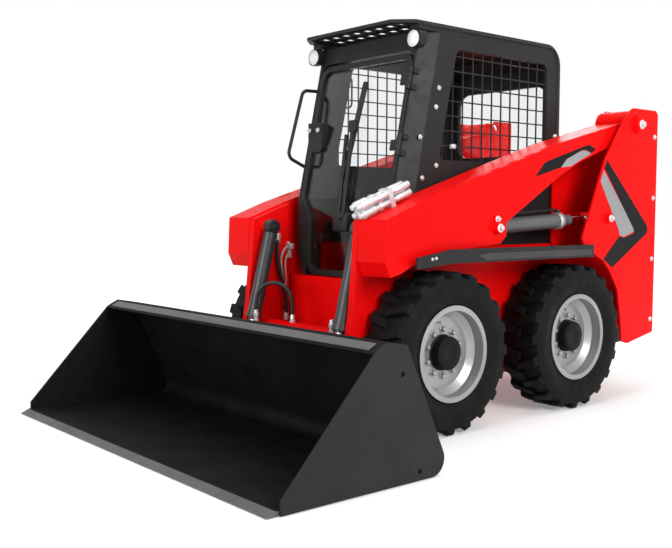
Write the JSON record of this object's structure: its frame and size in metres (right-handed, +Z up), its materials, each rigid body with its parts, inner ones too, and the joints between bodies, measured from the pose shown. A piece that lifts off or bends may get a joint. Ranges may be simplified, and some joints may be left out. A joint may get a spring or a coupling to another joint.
{
  "type": "compact skid-steer loader with a wide bucket",
  "caption": "Compact skid-steer loader with lift arms, a tilting bucket, hinged cab door, engine hood and rear door.",
  "frame": {"origin": "ground level under the middle of the overall box", "axes": "+X forward to the bucket, +Y to the machine's left, +Z up"},
  "size_m": [3.054, 2.108, 1.9078],
  "materials": {
    "red_paint": "gloss paint",
    "black_paint": "satin paint",
    "bucket_steel": "satin paint",
    "wear_steel": "satin paint",
    "glass": "gloss",
    "lamp_lens": "gloss",
    "seat_foam": "matte",
    "cast_iron": "matte",
    "rubber": "matte",
    "silver_paint": "satin paint",
    "cylinder_paint": "satin paint",
    "zinc": "plated",
    "chrome_rod": "polished"
  },
  "bodies": {
    "chassis": {"main_frame": "red_paint", "rear_bumper": "black_paint", "engine": "cast_iron", "fenders": "black_paint", "tower_inner_plates": "red_paint", "tower_outer_plates": "red_paint", "tower_backs": "red_paint", "tail_lamps": "lamp_lens", "axle_housings": "black_paint", "cab_sides": "black_paint", "side_screens": "black_paint", "cab_roof": "black_paint", "cab_rear": "black_paint", "rear_glass": "glass", "cab_front": "black_paint", "cab_floor": "black_paint", "work_lamps": "black_paint", "lamp_lenses": "lamp_lens", "seat": "seat_foam", "control_levers": "black_paint"},
    "cab_door": {"door_frame": "black_paint", "door_glass": "glass"},
    "hood": {"engine_hood": "red_paint"},
    "rear_hatch": {"rear_door": "red_paint"},
    "lift_arm": {"arms": "red_paint", "arm_legs": "red_paint", "arm_cross_tube": "red_paint", "couplers": "zinc"},
    "bucket": {"bucket_carrier": "black_paint", "bucket_shell": "bucket_steel", "bucket_sides": "bucket_steel", "cutting_edge": "wear_steel"},
    "wheel_front_left": {"tyre_front_left": "rubber", "rim_front_left": "silver_paint"},
    "wheel_front_right": {"tyre_front_right": "rubber", "rim_front_right": "silver_paint"},
    "wheel_rear_left": {"tyre_rear_left": "rubber", "rim_rear_left": "silver_paint"},
    "wheel_rear_right": {"tyre_rear_right": "rubber", "rim_rear_right": "silver_paint"},
    "lift_barrel_left_body": {"lift_barrel_left": "cylinder_paint"},
    "lift_rod_left_body": {"lift_rod_left": "chrome_rod"},
    "tilt_barrel_left_body": {"tilt_barrel_left": "cylinder_paint"},
    "tilt_rod_left_body": {"tilt_rod_left": "chrome_rod"},
    "lift_barrel_right_body": {"lift_barrel_right": "cylinder_paint"},
    "lift_rod_right_body": {"lift_rod_right": "chrome_rod"},
    "tilt_barrel_right_body": {"tilt_barrel_right": "cylinder_paint"},
    "tilt_rod_right_body": {"tilt_rod_right": "chrome_rod"}
  },
  "joints": [
    {"name": "wheel_front_left_spin", "type": "hinge", "parent": "chassis", "child": "wheel_front_left", "pos_m": [0.188, 0.5425, 0.376], "axis": [0, 1, 0], "continuous": true},
    {"name": "wheel_front_right_spin", "type": "hinge", "parent": "chassis", "child": "wheel_front_right", "pos_m": [0.188, -0.5425, 0.376], "axis": [0, 1, 0], "continuous": true},
    {"name": "wheel_rear_left_spin", "type": "hinge", "parent": "chassis", "child": "wheel_rear_left", "pos_m": [-0.752, 0.5425, 0.376], "axis": [0, 1, 0], "continuous": true},
    {"name": "wheel_rear_right_spin", "type": "hinge", "parent": "chassis", "child": "wheel_rear_right", "pos_m": [-0.752, -0.5425, 0.376], "axis": [0, 1, 0], "continuous": true},
    {"name": "lift", "type": "hinge", "parent": "chassis", "child": "lift_arm", "pos_m": [-1.272, 0, 1.498], "axis": [0, -1, 0], "range_deg": [0, 66]},
    {"name": "tilt", "type": "hinge", "parent": "lift_arm", "child": "bucket", "pos_m": [0.636, 0, 0.15], "axis": [0, 1, 0], "range_deg": [-27, 110]},
    {"name": "door_swing", "type": "hinge", "parent": "chassis", "child": "cab_door", "pos_m": [0.26345, 0.35, 1.33333], "axis": [-0.2084, 0, 0.9781], "range_deg": [0, 80]},
    {"name": "hood_lift", "type": "hinge", "parent": "chassis", "child": "hood", "pos_m": [-0.947, 0, 1.203], "axis": [0, 1, 0], "range_deg": [0, 55]},
    {"name": "rear_door_swing", "type": "hinge", "parent": "chassis", "child": "rear_hatch", "pos_m": [-1.509, 0.404, 0.8], "axis": [0, 0, -1], "range_deg": [0, 100]},
    {"name": "lift_barrel_left_swing", "type": "hinge", "parent": "lift_arm", "child": "lift_barrel_left_body", "pos_m": [-0.144, 0.512, 0.944], "axis": [0, -1, 0], "range_deg": [-1.23, 0.05]},
    {"name": "lift_rod_left_slide", "type": "slide", "parent": "lift_barrel_left_body", "child": "lift_rod_left_body", "axis": [-0.9987, 0, 0.0508], "range_m": [-0.0005, 0.62511]},
    {"name": "tilt_barrel_left_swing", "type": "hinge", "parent": "lift_arm", "child": "tilt_barrel_left_body", "pos_m": [0.491, 0.335, 0.94], "axis": [0, -1, 0], "range_deg": [-0.82, 3.17]},
    {"name": "tilt_rod_left_slide", "type": "slide", "parent": "tilt_barrel_left_body", "child": "tilt_rod_left_body", "axis": [0.2395, 0, -0.9709], "range_m": [-0.05173, 0.20922]},
    {"name": "lift_barrel_right_swing", "type": "hinge", "parent": "lift_arm", "child": "lift_barrel_right_body", "pos_m": [-0.144, -0.512, 0.944], "axis": [0, -1, 0], "range_deg": [-1.23, 0.05]},
    {"name": "lift_rod_right_slide", "type": "slide", "parent": "lift_barrel_right_body", "child": "lift_rod_right_body", "axis": [-0.9987, 0, 0.0508], "range_m": [-0.0005, 0.62511]},
    {"name": "tilt_barrel_right_swing", "type": "hinge", "parent": "lift_arm", "child": "tilt_barrel_right_body", "pos_m": [0.491, -0.335, 0.94], "axis": [0, -1, 0], "range_deg": [-0.82, 3.17]},
    {"name": "tilt_rod_right_slide", "type": "slide", "parent": "tilt_barrel_right_body", "child": "tilt_rod_right_body", "axis": [0.2395, 0, -0.9709], "range_m": [-0.05173, 0.20922]}
  ],
  "couplings": [
    {"joint": "lift_barrel_left_swing", "follows": "lift", "ratio": -0.017836},
    {"joint": "lift_rod_left_slide", "follows": "lift", "m_per_rad": 0.54224},
    {"joint": "tilt_barrel_left_swing", "follows": "tilt", "ratio": 0.028367},
    {"joint": "tilt_rod_left_slide", "follows": "tilt", "m_per_rad": 0.10872},
    {"joint": "lift_barrel_right_swing", "follows": "lift", "ratio": -0.017836},
    {"joint": "lift_rod_right_slide", "follows": "lift", "m_per_rad": 0.54224},
    {"joint": "tilt_barrel_right_swing", "follows": "tilt", "ratio": 0.028367},
    {"joint": "tilt_rod_right_slide", "follows": "tilt", "m_per_rad": 0.10872}
  ]
}
